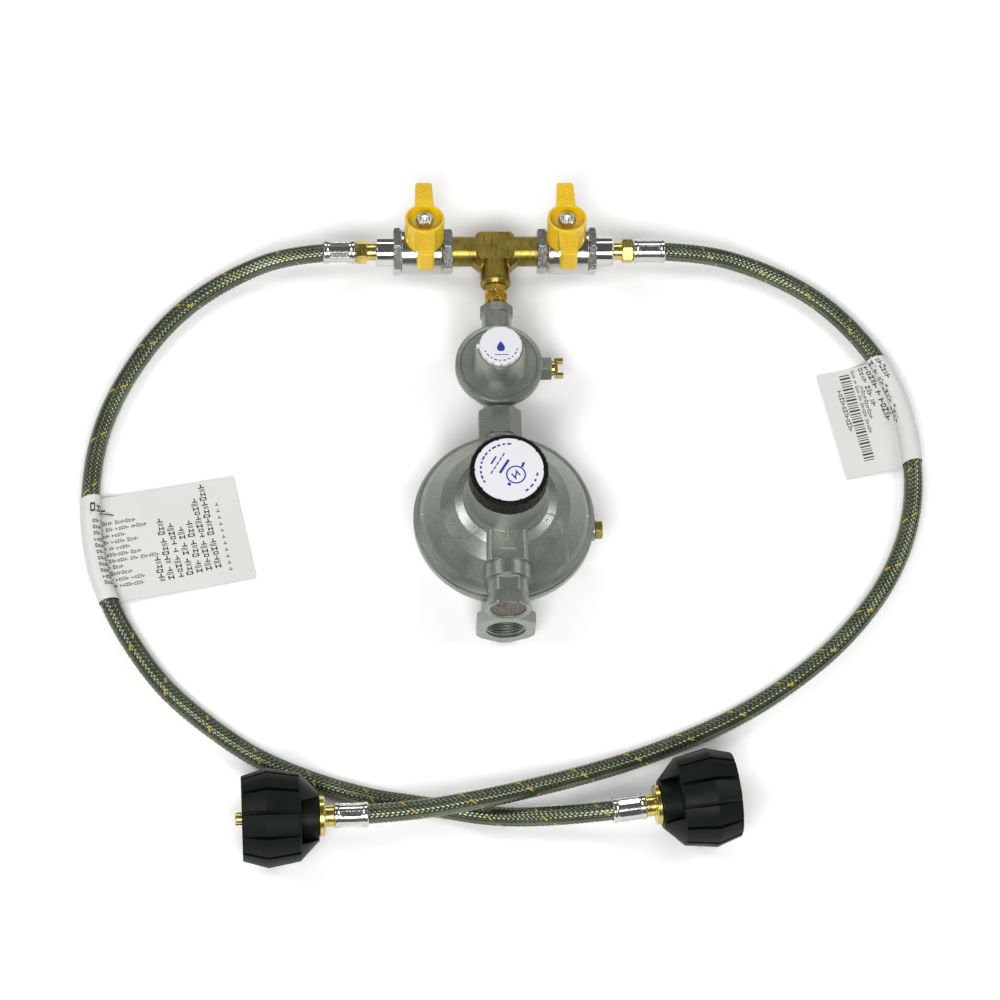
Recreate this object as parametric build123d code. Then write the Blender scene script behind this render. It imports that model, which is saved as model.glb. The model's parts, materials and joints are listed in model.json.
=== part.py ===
from build123d import *
import os
from math import cos, pi, radians, sin, tan

# Manual changeover set for two gas bottles. Millimetres, +Z up, +X right, +Y towards the valves.
# The origin is under the middle of the manifold, on the surface that it lies on.

# Driving dimensions
TEE_Y = 112.9            # tee centre, so that the manifold is centred on Y = 0
PORT_Z = 22.0            # height of every gas port axis
VALVE_X = 45.3           # ball valve centres, each side of the tee
VALVE_LEAN = 15.0        # valve stems lean back from upright, degrees
FIRST_Y = TEE_Y - 87.4   # centre of the first-stage regulator
SECOND_Y = TEE_Y - 195.6  # centre of the second-stage regulator
OUTLET_Y = TEE_Y - 264.6  # face of the gas outlet
HOSE_OD = 12.0           # braided hose, 6.5 bore
HOSE_R = HOSE_OD / 2
NUT_AXIS_Z = 30.0        # bottle connectors lie on their hand nuts
NUT_RIDGE_R = 30.0       # tallest point of the hand nut's ribs
RUN_FIT = 0.05           # radial gap of a screwed or running fit

SIDES = {"left": -1, "right": 1}
BASE = (Align.CENTER, Align.CENTER, Align.MIN)

os.makedirs("parts", exist_ok=True)


# ---------------------------------------------------------------- shape helpers

def raised(outline, start, height):
    """Outline in the XY plane, extruded upwards from a height."""
    return Pos(0, 0, start) * extrude(outline, height, dir=(0, 0, 1))


def rod(radius, start, end):
    """Round bar on the Z axis."""
    return Pos(0, 0, start) * Cylinder(radius, end - start, align=BASE)


def pipe(outer, inner, start, end):
    return rod(outer, start, end) - rod(inner, start, end)


def block(x, y, z):
    """Box from (low, high) pairs along each axis."""
    size = [high - low for low, high in (x, y, z)]
    return Pos(x[0], y[0], z[0]) * Box(*size, align=(Align.MIN, Align.MIN, Align.MIN))


def turned(*profile):
    """Solid of revolution about Z from (radius, height) corners."""
    outline = Polyline(*[(radius, 0, height) for radius, height in profile], close=True)
    return revolve(make_face(outline), Axis.Z)


def prism(sides, across_flats, start, end, chamfer=0.8, turn=0.0):
    """Hexagon or octagon bar on the Z axis, its corners turned down at both ends."""
    outline = RegularPolygon(across_flats / 2, sides, major_radius=False, rotation=turn)
    bar = Pos(0, 0, start) * extrude(outline, end - start)
    corner = across_flats / 2 / cos(pi / sides)
    low = corner - 1.7 * chamfer
    limit = turned((0, start), (low, start), (corner, start + chamfer), (corner, end - chamfer),
                   (low, end), (0, end))
    return bar & limit


def along_x(part):
    """Lay a part built on Z along +X."""
    return Rot(0, 90, 0) * part


def along_y(part):
    """Lay a part built on Z along -Y, the way the gas flows."""
    return Rot(90, 0, 0) * part


def ring_of(count, part, start=0.0):
    return [Rot(0, 0, start + 360.0 / count * step) * part for step in range(count)]


def spring(radius, wire, start, end, turns):
    """Helical compression spring on the Z axis."""
    coil = Helix((end - start - wire) / turns, end - start - wire, radius,
                 center=(0, 0, start + wire / 2))
    section = Plane(coil @ 0, z_dir=coil % 0) * Circle(wire / 2)
    return sweep(section, path=coil, is_frenet=True)


def write(name, *solids):
    """One STEP file per node, holding one solid or a group of separate ones."""
    if len(solids) == 1:
        shape = solids[0]
    else:
        shape = Compound(children=[solid for group in solids for solid in group.solids()])
    export_step(shape, f"parts/{name}.step")


# ---------------------------------------------------------------- tee and nipple

TEE_HALF = 12.2          # forged block, half its width
TEE_THICK = 8.8          # half its thickness; the arms and the branch are flat there too
TEE_ARM_R = 9.7
TEE_ARM_END = 27.1
BRANCH_R = 9.4
GUSSET_THICK = 6.0       # half the thickness of the webs beside the branch
BRANCH_END = 26.2
NIPPLE_END = 41.4
GAS_BORE_R = 4.0
SPIGOT_R = 8.0           # threaded ends of the tee arms, inside the valves
NIPPLE_SPIGOT_R = 6.5


def tee_body():
    """Forged tee: flat block with webs, two screwed arms and a branch towards -Y."""
    outline = Polygon((-10, 9.6), (10, 9.6), (TEE_HALF, 7.4), (TEE_HALF, -6.4), (9, -9.6),
                      (-9, -9.6), (-TEE_HALF, -6.4), (-TEE_HALF, 7.4), align=None)
    forging = raised(outline, -TEE_THICK, 2 * TEE_THICK)
    webs = Polygon((-14.4, -4), (14.4, -4), (14.4, -9.4), (9.2, -14), (-9.2, -14),
                   (-14.4, -9.4), align=None)
    gussets = raised(webs, -GUSSET_THICK, 2 * GUSSET_THICK)
    gussets = chamfer(gussets.edges().filter_by(Axis.Z, reverse=True), 2.0)
    arms = along_x(rod(TEE_ARM_R, -TEE_ARM_END, TEE_ARM_END))
    spigots = along_x(rod(SPIGOT_R, -TEE_ARM_END - 7.8, TEE_ARM_END + 7.8))
    branch = along_y(turned((0, 0), (BRANCH_R, 0), (BRANCH_R, 22.2), (BRANCH_R + 0.3, 22.8),
                            (BRANCH_R + 0.3, 24.2), (BRANCH_R - 1.4, BRANCH_END), (0, BRANCH_END)))
    tee = forging + gussets + arms + spigots + branch
    tee -= block((-30, 30), (-BRANCH_END + 4.2, 20), (TEE_THICK, 20))
    tee -= along_x(rod(GAS_BORE_R, -40, 40))
    tee -= along_y(rod(GAS_BORE_R, 0, 40))
    tee -= along_y(rod(NIPPLE_SPIGOT_R + RUN_FIT, 17, 40))
    return Pos(0, TEE_Y, PORT_Z) * tee


def tee_nipple():
    """Brass connector: thin hexagon, groove, hexagon and two turned rings."""
    nipple = rod(NIPPLE_SPIGOT_R, 17.1, 48.9)
    nipple += prism(6, 13.2, BRANCH_END, 31.0, turn=30)
    nipple += rod(6.2, 31.0, 32.2)
    nipple += prism(6, 13.8, 32.2, 37.2, turn=30)
    nipple += turned((0, 37.2), (6.6, 37.2), (7.4, 37.9), (7.4, 38.7), (6.6, 39.3), (7.3, 40.0),
                     (7.3, 40.8), (6.7, NIPPLE_END), (0, NIPPLE_END))
    nipple -= rod(3.0, 17, 49)
    return Pos(0, TEE_Y, PORT_Z) * along_y(nipple)


# ---------------------------------------------------------------- ball valves
# Built with the pipe along X, the tee end at +X, and the stem along +Z.

CAP_START = -19.5        # outer face of the end cap
BARREL_START = -14.9
BARREL_END = 12.2
TEE_FACE = VALVE_X - TEE_ARM_END
BARREL_R = 14.7
CAVITY_R = 9.45
BALL_R = 8.5
SEAT_START = 5.6
SEAT_END = 9.0
STEM_R = 4.0
SKIRT_START = 11.5       # lower edge of the handle's skirt
CUP_R = 12.5
CUP_TOP = 31.0
CUP_FLOOR = 26.0
SKIRT_R = 10.9
WING_TIP = 32.0
WING_BOTTOM = 17.0
SLEEVE_START = -30.8
SLEEVE_R = 9.4


def valve_body():
    barrel = turned((0, BARREL_START), (14.0, BARREL_START), (BARREL_R, -14.2),
                    (BARREL_R, 10.7), (13.4, BARREL_END), (0, BARREL_END))
    body = along_x(barrel) + along_x(prism(6, 26.0, BARREL_END, TEE_FACE, turn=30))
    body += rod(8.0, 0, 19.5)
    body -= pipe(13.2, 10.2, SKIRT_START - 0.5, 25)
    body -= along_x(rod(CAVITY_R, BARREL_START, SEAT_END))
    body -= along_x(rod(5.0, SEAT_END, TEE_FACE))
    body -= along_x(rod(SPIGOT_R + RUN_FIT, TEE_FACE - 8, TEE_FACE))
    body -= rod(STEM_R + RUN_FIT, 5, 20)
    body -= rod(6.0, 12.4, 16.6)
    return body


def valve_end_cap():
    cap = prism(6, 27.5, CAP_START, BARREL_START, turn=30) + rod(9.4, BARREL_START, -SEAT_END)
    cap -= rod(5.0, CAP_START, -SEAT_END)
    cap -= rod(7.0 + RUN_FIT, CAP_START, -13.0)
    return along_x(cap)


def inlet_sleeve():
    sleeve = turned((0, SLEEVE_START), (8.6, SLEEVE_START), (SLEEVE_R, SLEEVE_START + 0.8),
                    (SLEEVE_R, CAP_START), (7.0, CAP_START), (7.0, -13.1), (0, -13.1))
    sleeve -= rod(3.2, SLEEVE_START, -13.1)
    sleeve -= rod(5.0 + RUN_FIT, SLEEVE_START, -22.8)
    return along_x(sleeve)


def ball_seats():
    """The two sealing rings, coned to the ball."""
    seat = turned((6.65, SEAT_START), (9.4, SEAT_START), (9.4, SEAT_END), (4.7, SEAT_END),
                  (4.7, 7.3))
    return [along_x(seat), Rot(0, 0, 180) * along_x(seat)]


def stem_seals():
    return [Pos(0, 0, height) * Torus(4.97, 0.88) for height in (13.4, 15.4)]


def ball():
    """Closed: its bore lies across the pipe, in line with the handle."""
    drive_slot = block((-1.6, 1.6), (-9, 9), (7.0, 9))
    return Sphere(BALL_R) - along_y(rod(4.5, -9, 9)) - drive_slot


def stem():
    flats = block((-2.8, 2.8), (-5, 5), (21.5, CUP_FLOOR))
    shaft = rod(STEM_R, 8.6, 21.5) + (rod(STEM_R, 21.5, CUP_FLOOR - 0.1) & flats)
    shaft += block((-1.5, 1.5), (-3.5, 3.5), (7.1, 8.6))
    shaft += turned((0, CUP_FLOOR - 0.1), (3.0, CUP_FLOOR - 0.1), (3.0, 32.6), (2.4, 33.3),
                    (0, 33.6))
    return shaft


def grip_marks(centre_y):
    """Two rows of raised dots on top of a wing."""
    dot = raised(SlotOverall(3.4, 1.7), CUP_TOP - 0.6, 0.9)
    places = [(x, centre_y + y) for x in (-2.5, 2.5) for y in (-5.2, -1.7, 1.8, 5.3)]
    return [Pos(x, y, 0) * dot for x, y in places]


def handle():
    """Butterfly handle: round cup with a nut recess, two wings and a skirt over the stem."""
    wing_plan = Polygon((-6.2, 9), (6.2, 9), (5.3, WING_TIP), (-5.3, WING_TIP), align=None)
    tip_corners = wing_plan.vertices().group_by(Axis.Y)[-1]
    wing_plan = fillet(tip_corners, 2.2)
    wing = raised(wing_plan, WING_BOTTOM, CUP_TOP - 0.5 - WING_BOTTOM)
    wing = fillet(wing.faces().sort_by(Axis.Z)[-1].edges(), 0.6)
    wings = [wing, Rot(0, 0, 180) * wing]
    cup = turned((0, SKIRT_START), (CUP_R - 0.3, SKIRT_START), (CUP_R, SKIRT_START + 0.3),
                 (CUP_R, CUP_TOP - 0.4), (CUP_R - 0.4, CUP_TOP), (0, CUP_TOP))
    solid = cup + wings
    for centre_y in (-22.0, 22.0):
        solid += grip_marks(centre_y)
    solid -= rod(SKIRT_R, SKIRT_START, 22)
    solid -= turned((0, CUP_FLOOR), (10.2, CUP_FLOOR), (10.9, CUP_TOP - 0.5), (11.2, CUP_TOP),
                    (11.2, 40), (0, 40))
    solid -= rod(STEM_R + RUN_FIT, 22, CUP_FLOOR)
    return solid


def handle_nut():
    return prism(6, 10.0, CUP_FLOOR, CUP_FLOOR + 5.0, chamfer=0.6) - rod(3.05, 20, 40)


def valve_place(side):
    """Location of one valve: tee end towards the middle, stem leaning back."""
    lean = radians(VALVE_LEAN)
    return Plane(origin=(side * VALVE_X, TEE_Y, PORT_Z), x_dir=(-side, 0, 0),
                 z_dir=(0, sin(lean), cos(lean))).location


def write_valves():
    seats, seals = [], []
    for side_name, side in SIDES.items():
        place = valve_place(side)
        write(f"{side_name}_valve_body", place * valve_body())
        write(f"{side_name}_valve_end_cap", place * valve_end_cap())
        write(f"{side_name}_inlet_sleeve", place * inlet_sleeve())
        write(f"{side_name}_ball", place * ball())
        write(f"{side_name}_stem", place * stem())
        write(f"{side_name}_handle", place * handle())
        write(f"{side_name}_handle_nut", place * handle_nut())
        seats += [place * seat for seat in ball_seats()]
        seals += [place * seal for seal in stem_seals()]
    write("ball_seats", *seats)
    write("stem_seals", *seals)


# ---------------------------------------------------------------- hoses and their fittings

ADAPTOR_START = VALVE_X - SLEEVE_START   # outer face of the inlet sleeve, from the tee
HEX_START = ADAPTOR_START + 5.6
HEX_END = HEX_START + 7.2                # the hose starts here, inside its ferrule
FERRULE_LENGTH = 20.7
FERRULE_R = 7.65
CRIMPS = 6

# Bottle connectors: places of the front of each hand nut and the way it points.
NUT_FRONT = {"left": (-162.0, TEE_Y - 389.8), "right": (135.0, TEE_Y - 377.0)}
NUT_ANGLE = {"left": 1.5, "right": 187.5}     # direction from the nut to its hose, about Z
PAD_TURN = {"left": 30.0, "right": -13.5}     # turn of the pads from straight down
NUT_LENGTH = 46.0
NECK_END = 55.0                               # the hose ends here, inside its ferrule
PADS = 12                                     # grip pads round the hand nut
GROOVE = 2.4                                  # width of the grooves between the pads
CHANNEL = 13.2                                # half width of the two channels behind the pads


def hose_adaptor():
    """Brass adaptor on +X: screwed end, neck and hexagon."""
    adaptor = rod(5.0, ADAPTOR_START - 7.9, ADAPTOR_START)
    adaptor += rod(5.65, ADAPTOR_START, HEX_START)
    adaptor += prism(6, 13.6, HEX_START, HEX_END, turn=12)
    return adaptor - rod(3.0, 60, HEX_END)


def ferrule(start):
    """Crimped sleeve round the hose end, with pressed dents and two end beads."""
    end = start + FERRULE_LENGTH
    shell = turned((0, start), (6.9, start), (FERRULE_R, start + 0.8), (FERRULE_R, start + 2.4),
                   (FERRULE_R - 0.35, start + 3.2), (FERRULE_R - 0.35, end - 3.2),
                   (FERRULE_R, end - 2.4), (FERRULE_R, end - 0.8), (7.1, end), (0, end))
    dent = Pos(0, 0, start + 4.2) * block((6.8, 9), (-1.7, 1.7), (0, FERRULE_LENGTH - 8.4))
    return shell - ring_of(CRIMPS, dent, start=15) - rod(HOSE_R + RUN_FIT, start, end)


def connector_nipple():
    """Brass nipple through the hand nut: split tip, shoulder, outer flange and neck."""
    nipple = turned((0, -4.0), (3.2, -4.0), (4.0, -3.2), (4.0, 2.0), (6.4, 5.0), (7.0, 7.0),
                    (7.0, 34.0), (10.0, 34.0), (10.0, 37.9), (7.4, 37.9), (7.4, 46.1),
                    (11.6, 46.1), (12.0, 46.6), (12.0, 49.0), (11.4, 49.6), (6.9, 49.6),
                    (6.5, 50.0), (6.5, NECK_END), (0, NECK_END))
    nipple -= rod(2.4, -5, 30)
    nipple -= rod(3.2, 30, NECK_END)
    return nipple - block((-1.2, 1.2), (-6, 6), (-5, 1.0))


def hand_nut():
    """Black hand nut: barrel of grip pads, tapered back with two channels, Acme bore."""
    nut = turned((0, 0), (25.2, 0), (25.6, 0.6), (NUT_RIDGE_R, 15.2), (26.6, 34.5),
                 (16.0, 44.8), (14.8, NUT_LENGTH), (0, NUT_LENGTH))
    groove = block((24.6, 40), (-GROOVE / 2, GROOVE / 2), (-1, 34.5))
    channel = block((0, 40), (-CHANNEL, CHANNEL), (35.2, 50)) - rod(15.0, 35, 50)
    nut -= ring_of(PADS, groove, start=180 / PADS)
    nut -= ring_of(2, channel)
    nut -= turned((0, -1), (16.6, -1), (16.6, 0), (15.25, 1.4), (15.25, 26), (13.5, 28), (13.5, 31),
                  (10.6, 33.6), (10.6, 38), (0, 38))
    return nut - rod(7.48, 37, 47)


def connector_axis(side_name):
    """Location with +Z along the connector, from the front of its nut towards its hose."""
    x, y = NUT_FRONT[side_name]
    angle = radians(NUT_ANGLE[side_name])
    return Plane(origin=(x, y, NUT_AXIS_Z), x_dir=(0, 0, -1),
                 z_dir=(cos(angle), sin(angle), 0)).location


def connector_point(side_name, distance):
    x, y = NUT_FRONT[side_name]
    angle = radians(NUT_ANGLE[side_name])
    return (x + distance * cos(angle), y + distance * sin(angle), NUT_AXIS_Z)


# Free hoses. Each starts in its adaptor and ends in the connector on the other side.
# X, distance from the tee along Y, and height of every bend between the two fittings.
END_RUN = 38.0
ROUTES = {
    "left": [(-129, 0, PORT_Z), (-174, -13, 7.6), (-210, -42, 6.0), (-240, -89, 6.1),
             (-255, -135, 7.2), (-257, -188, 7.1), (-246, -237, 7.2), (-215, -290, 6.0),
             (-182, -321, 6.1), (-147, -346, 6.0), (-92, -367, 6.1), (-48, -374, 6.0),
             (-6, -382, 6.2)],
    "right": [(129, 0, PORT_Z), (174, -6, 7.6), (216, -32, 6.2), (250, -79, 7.1),
              (262, -126, 7.2), (261, -177, 7.0), (244, -223, 6.0), (212, -265, 6.1),
              (175, -296, 6.0), (137, -320, 6.2), (87, -342, 7.4), (43, -358, 13.5),
              (-12, -376, 25.5)],
}
FAR_CONNECTOR = {"left": "right", "right": "left"}


def route_points(side_name):
    """Route from the adaptor to the neck of the connector on the other side."""
    far = FAR_CONNECTOR[side_name]
    start = Vector(SIDES[side_name] * HEX_END, TEE_Y, PORT_Z)
    bends = [Vector(x, TEE_Y + y, z) for x, y, z in ROUTES[side_name]]
    end = [Vector(*connector_point(far, NECK_END + run)) for run in (END_RUN, 0)]
    return [start] + bends + end


def corner_radii(points):
    """Each arc is as large as its two runs allow."""
    radii = []
    for before, corner, after in zip(points, points[1:], points[2:]):
        run_in, run_out = corner - before, after - corner
        turn = radians(run_in.get_angle(run_out))
        radii.append(0.45 * min(run_in.length, run_out.length) / tan(turn / 2))
    return radii


def hose(side_name):
    """Free hose: straight runs joined by tangent arcs."""
    points = route_points(side_name)
    radii = corner_radii(points)
    path = FilletPolyline(*points, radius=radii)
    tube = sweep(Plane(origin=path @ 0, z_dir=path % 0) * Circle(HOSE_R), path=path)
    runs = [after - before for before, after in zip(points, points[1:])]
    turns = [run.get_angle(after) for run, after in zip(runs, runs[1:])]
    print(side_name, "hose length", round(path.length, 1), "volume ratio",
          round(tube.volume / (path.length * pi * HOSE_R ** 2), 4))
    print("  runs", [round(run.length) for run in runs])
    print("  turns", [round(turn, 1) for turn in turns])
    print("  radii", [round(radius) for radius in radii])
    return tube


# Flag tags: a strip wrapped round the hose, its two ends joined as a flap.
TAG_Y = {"left": -203.0, "right": -110.0}
TAG_X = {"left": -252.6, "right": 256.2}
TAG_ANGLE = {"left": 11.5, "right": 193.5}    # direction of the flap about Z
TAG_BAND = {"left": 72.0, "right": 76.0}      # length along the hose
TAG_FLAP = {"left": 90.0, "right": 40.0}      # reach of the flap
LOOP_SIZE = (19.2, 13.6)
TAG_SHEET = 0.4


def tag(side_name):
    """Wrapped tag: a flattened loop round the hose and a flap that drops to the surface."""
    width, height = LOOP_SIZE
    inner = (width - 2 * TAG_SHEET, height - 2 * TAG_SHEET)
    reach = width / 2 + TAG_FLAP[side_name]
    loop = RectangleRounded(width, height, 6.5) - RectangleRounded(*inner, 6.5 - TAG_SHEET)
    loop = Pos(0, height / 2 + 0.05) * loop
    flap = Polygon((width / 2 - 0.3, 5.4), (width / 2 - 0.3, 4.4), (reach, 0.1), (reach, 0.9),
                   align=None)
    angle = radians(TAG_ANGLE[side_name])
    place = Plane(origin=(TAG_X[side_name], TEE_Y + TAG_Y[side_name], 0),
                  x_dir=(cos(angle), sin(angle), 0), z_dir=(sin(angle), -cos(angle), 0))
    band = TAG_BAND[side_name]
    return place.location * Pos(0, 0, -band / 2) * extrude(loop + flap, band)


def write_hoses():
    for side_name, side in SIDES.items():
        outward = Pos(0, TEE_Y, PORT_Z) * Rot(0, 90 * side, 0)
        connector = connector_axis(side_name)
        write(f"{side_name}_hose", hose(side_name))
        write(f"{side_name}_hose_adaptor", outward * hose_adaptor())
        write(f"{side_name}_upper_ferrule", outward * ferrule(HEX_END))
        write(f"{side_name}_lower_ferrule", connector * ferrule(NECK_END))
        write(f"{side_name}_connector_nipple", connector * connector_nipple())
        write(f"{side_name}_hand_nut", connector * Rot(0, 0, PAD_TURN[side_name]) * hand_nut())
        write(f"{side_name}_tag", tag(side_name))


# ---------------------------------------------------------------- first-stage regulator
# Built round the Z axis; +Y is the inlet.

FLANGE_Z = 32.1          # joint face of the body
DIAPHRAGM = 0.8
FIRST_FLANGE_R = 27.5
FOOT_R = 10.4            # foot of the body, which stands on the surface
FIRST_INLET = 46.0       # face of the inlet boss
FIRST_OUTLET = -28.3     # face of the outlet neck
POPPET_GAP = 0.85        # poppet to nozzle, fully open
TEST_Y = 3.1


def port(part):
    """Raise a part built round the port axis to its height."""
    return Pos(0, 0, PORT_Z) * part


def first_body():
    body = turned((0, 0), (FOOT_R, 0), (FOOT_R + 1, 1), (16, 8), (20, 11), (21.5, 20), (24, 27),
                  (FIRST_FLANGE_R, 29), (FIRST_FLANGE_R, FLANGE_Z), (0, FLANGE_Z))
    body += port(along_y(prism(8, 20.6, -FIRST_INLET, 6.0 - FIRST_INLET, turn=22.5)))
    body += port(along_y(turned((0, 6.0 - FIRST_INLET), (9.5, 6.0 - FIRST_INLET), (9.5, -30),
                                (9.9, -20), (0, -20))))
    body += port(along_y(rod(10.0, 15, -FIRST_OUTLET) + rod(7.9, 15, 6.9 - FIRST_OUTLET)))
    body += port(Pos(0, TEST_Y, 0) * along_x(prism(6, 14.0, 18, 33.8, turn=30)))
    body -= rod(12.0, 21, FLANGE_Z)
    body -= turned((0, 31), (19, 31), (19, FLANGE_Z), (0, FLANGE_Z))
    body -= rod(7.0 + RUN_FIT, 0, 15)
    body -= rod(5.0 + RUN_FIT, 14, 21)
    body -= port(along_y(rod(NIPPLE_SPIGOT_R + RUN_FIT, -FIRST_INLET, 8 - FIRST_INLET)))
    body -= port(along_y(rod(3.0, -39, -20)))
    drop = Plane(origin=(0, 22.5, PORT_Z), z_dir=(0, -18.5, -11.5)).location
    body -= drop * rod(2.3, -1.5, 21.5)
    body -= port(along_y(rod(5.0, 10, 40)))
    body -= port(Pos(0, TEST_Y, 0) * along_x(rod(3.5 + RUN_FIT, 25, 34)))
    return body - port(Pos(0, TEST_Y, 0) * along_x(rod(1.2, 8, 26)))


def first_bonnet():
    """Flange with a groove and a tall dome; pointer, rib and lug on the front."""
    foot = FLANGE_Z + DIAPHRAGM
    bonnet = turned((0, foot), (FIRST_FLANGE_R, foot), (FIRST_FLANGE_R, 34.8), (26.6, 35.8),
                    (24.3, 36), (24.3, 35.3), (23.6, 35.3), (23.6, 36), (17.25, 36), (17, 42),
                    (15.8, 50), (14.4, 57), (0, 57))
    pointer = Polygon((-3.8, -16), (3.8, -16), (3.8, -18.4), (0, -22.6), (-3.8, -18.4), align=None)
    bonnet += raised(pointer, 35, 2.0)
    bonnet += block((-3.4, 3.4), (-16.4, -13.2), (52.4, 56))
    bonnet += block((-0.8, 0.8), (-17.3, -13.2), (45.5, 51.0))
    return bonnet - turned((0, 32), (19, 32), (19, 33.6), (13, 36.6), (13, 58), (0, 58))


def first_cap():
    """White cap screwed into the dome, its edge notched all round."""
    cap = turned((0, 54.2), (12.9, 54.2), (12.9, 57), (13.4, 57), (13.4, 59.6), (12.9, 60),
                 (0, 60))
    notch = Pos(13.6, 0, 0) * rod(0.8, 57, 61)
    return cap - ring_of(16, notch) + block((-15.2, -12.5), (-1.0, 1.0), (57, 59.4))


def first_plate():
    plate = rod(11.0, 32.95, 34.2) + rod(2.5, 28, 34) + rod(4.5, 30.8, 32.05)
    return plate - rod(1.2 + RUN_FIT, 27, 30.5)


def first_poppet():
    top = 16.0 - POPPET_GAP
    return rod(3.6, 11.6, top) + rod(1.2, top, 30.4)


def first_test_plug():
    """Brass test plug with a forked head."""
    plug = rod(3.5, 26, 33.8) + rod(5.0, 33.8, 35.6)
    plug += block((-2.2, 2.2), (-6.2, 6.2), (35.6, 37.6))
    for low in (-6.2, 4.0):
        plug += block((-2.2, 2.2), (low, low + 2.2), (37.6, 41.2))
    return port(Pos(0, TEST_Y, 0) * along_x(plug))


def write_first_stage():
    place = Pos(0, FIRST_Y, 0)
    plug_slot = block((-0.8, 0.8), (-8, 8), (0, 1.8))
    write("first_body", place * first_body())
    write("first_bonnet", place * first_bonnet())
    write("first_cap", place * first_cap())
    write("first_diaphragm", place * pipe(27.3, 2.5 + RUN_FIT, FLANGE_Z, FLANGE_Z + DIAPHRAGM))
    write("first_plate", place * first_plate())
    write("first_spring", place * spring(8.0, 2.0, 34.2, 54.2, 5.5))
    write("first_poppet", place * first_poppet())
    write("first_nozzle", place * (turned((0, 16), (5, 16), (5, 21), (3.6, 22.5), (0, 22.5))
                                   - rod(1.6, 15, 23)))
    write("first_bottom_plug", place * (rod(7.0, 0.4, 8.0) - plug_slot))
    write("first_test_plug", place * first_test_plug())


def interstage_union():
    """Octagon coupling between the two regulators."""
    start, end = 115.9, 135.9
    union = prism(8, 26.6, start, end, chamfer=1.2, turn=22.5) - rod(5.0, start, end)
    union -= rod(7.9 + RUN_FIT, start, start + 7)
    return Pos(0, TEE_Y, PORT_Z) * along_y(union - rod(9.0 + RUN_FIT, end - 7, end))


# ---------------------------------------------------------------- second-stage regulator
# Built round the Z axis; -Y is the gas outlet.

RIM_Z = 37.5             # joint face of the body
RIM_R = 56.0
OUTLET_END = SECOND_Y - OUTLET_Y
THREAD_R = 12.25         # 3/4 inch pipe thread of the gas outlet
THREAD_LENGTH = 18.0
INLET_END = 59.7
VENT_Z = 55.0
VENT_END = 70.4
VENT_BORE_R = 11.0
VENT_TOP = 69.0          # flat top of the housing between the neck and the vent
VENT_FLARE_Z = 40.0      # the outlet hexagon is cut off here, under the vent
POST_R = 3.0
PIVOT_Y = 14.0
PIVOT_Z = 14.0
SHORT_ARM = 8.0
LUG_X = 5.0
ADJUSTER_Z = 84.0
CAP_Z = 93.0
CAP_TOP = 106.0


def second_body():
    """Bowl with the inlet spigot, the gas outlet hexagon, a test boss and two lever lugs."""
    body = turned((0, 0), (39.5, 0), (41.5, 1.5), (50, 29.5), (RIM_R - 0.8, 31), (RIM_R, 32),
                  (RIM_R, RIM_Z - 0.6), (RIM_R - 0.6, RIM_Z), (0, RIM_Z))
    body += port(along_y(rod(14.0, -INLET_END, -40) + rod(9.0, -INLET_END - 6.8, -40)))
    body += port(along_y(rod(15.0, 40, OUTLET_END - 8)))
    hexagon = port(along_y(prism(6, 36.0, OUTLET_END - 8.2, OUTLET_END, chamfer=1.0, turn=30)))
    body += hexagon - block((-20, 20), (-OUTLET_END - 1, -OUTLET_END + 9), (VENT_FLARE_Z, 60))
    body += port(Pos(0, -1.4, 0) * along_x(rod(7.0, 40, 56.9)))
    body -= turned((0, 6), (34, 6), (36.5, 8.5), (44.5, 30), (46.5, 33), (46.5, RIM_Z), (0, RIM_Z))
    body += port(along_y(rod(9.0, -48, -28)))
    for low in (-LUG_X - 3, LUG_X):
        body += block((low, low + 3), (11, 20), (5, 25))
    body -= port(along_y(rod(5.0 + RUN_FIT, -70, -27)))
    body -= port(along_y(rod(10.0, 25, OUTLET_END) + rod(THREAD_R, OUTLET_END - THREAD_LENGTH,
                                                        OUTLET_END)))
    body -= port(Pos(0, -1.4, 0) * along_x(rod(2.0, 40, 57) + rod(4.0 + RUN_FIT, 49, 57)))
    return body - Pos(0, PIVOT_Y, PIVOT_Z) * along_x(rod(1.27, -9, 9))


def second_bonnet():
    """Dished bonnet with the spring neck and the vent tube."""
    foot = RIM_Z + DIAPHRAGM
    bonnet = turned((0, foot), (RIM_R - 1, foot), (RIM_R - 1, 40.4), (RIM_R - 2, 41.4),
                    (RIM_R - 3.2, 41.4), (50, 45.2), (40, 56.3), (31.5, 63.6), (26.5, 66.6),
                    (24.8, 68.4), (24.35, 71), (24.35, CAP_Z), (0, CAP_Z))
    tube = rod(12.75, 18, 42.4) + rod(14.5, 42.4, 51.4) + rod(12.6, 51.4, 62)
    tube += turned((0, 60), (12.6, 61), (14.2, 68.8), (14.2, VENT_END - 0.6),
                   (13.7, VENT_END), (0, VENT_END))
    tube -= block((-6.1, 6.1), (11.2, 20), (52.4, 80))
    bonnet += Pos(0, 0, VENT_Z) * along_y(tube)
    housing = block((-12.6, 12.6), (-42.4, -18), (VENT_Z, VENT_TOP))
    bonnet += fillet(housing.edges().filter_by(Axis.Y).group_by(Axis.Z)[-1], 3.5)
    bonnet += block((-0.9, 0.9), (-28.6, -22), (60, 72.6))
    bonnet += block((-5, 5), (-35.4, -31), (60, VENT_TOP + 0.5))
    bonnet -= turned((0, 38), (48, 38), (48, 40.6), (37.5, 52.6), (28.5, 60.8), (22, 64.6),
                     (20.5, 67), (20.5, 94), (0, 94))
    mouth = turned((0, 69.6), (VENT_BORE_R, 69.6), (VENT_BORE_R + 1.6, VENT_END + 0.1),
                   (0, VENT_END + 0.1))
    return bonnet - Pos(0, 0, VENT_Z) * along_y(rod(VENT_BORE_R, 27, 80) + mouth)


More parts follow.
